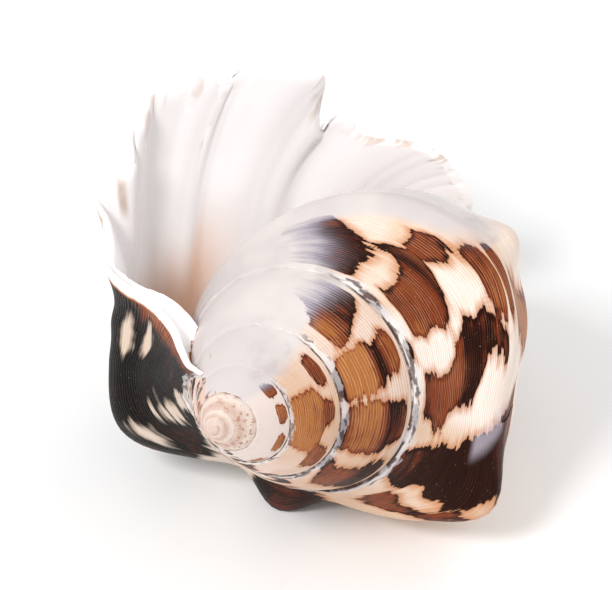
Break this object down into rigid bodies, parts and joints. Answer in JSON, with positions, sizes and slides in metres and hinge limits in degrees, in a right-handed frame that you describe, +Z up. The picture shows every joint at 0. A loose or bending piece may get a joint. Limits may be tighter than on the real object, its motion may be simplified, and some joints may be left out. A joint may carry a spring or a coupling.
{
  "type": "conch shell",
  "caption": "Empty flared-lip sea shell lying on its back, aperture up, with blunt shoulder knobs and a fluted, ragged outer lip.",
  "frame": {"origin": "on the surface the shell lies on, under the centre of its outline seen from above", "axes": "+Z up; +X to the right and +Y away from the viewer in the pictured view, with the spire pointing to the front left and the flared lip at the back left"},
  "size_m": [0.1264, 0.1426, 0.1051],
  "materials": {
    "shell": "glossy natural shell: cream with brown blotches outside, white glaze inside"
  },
  "bodies": {
    "root": {"shell": "shell"}
  },
  "joints": []
}
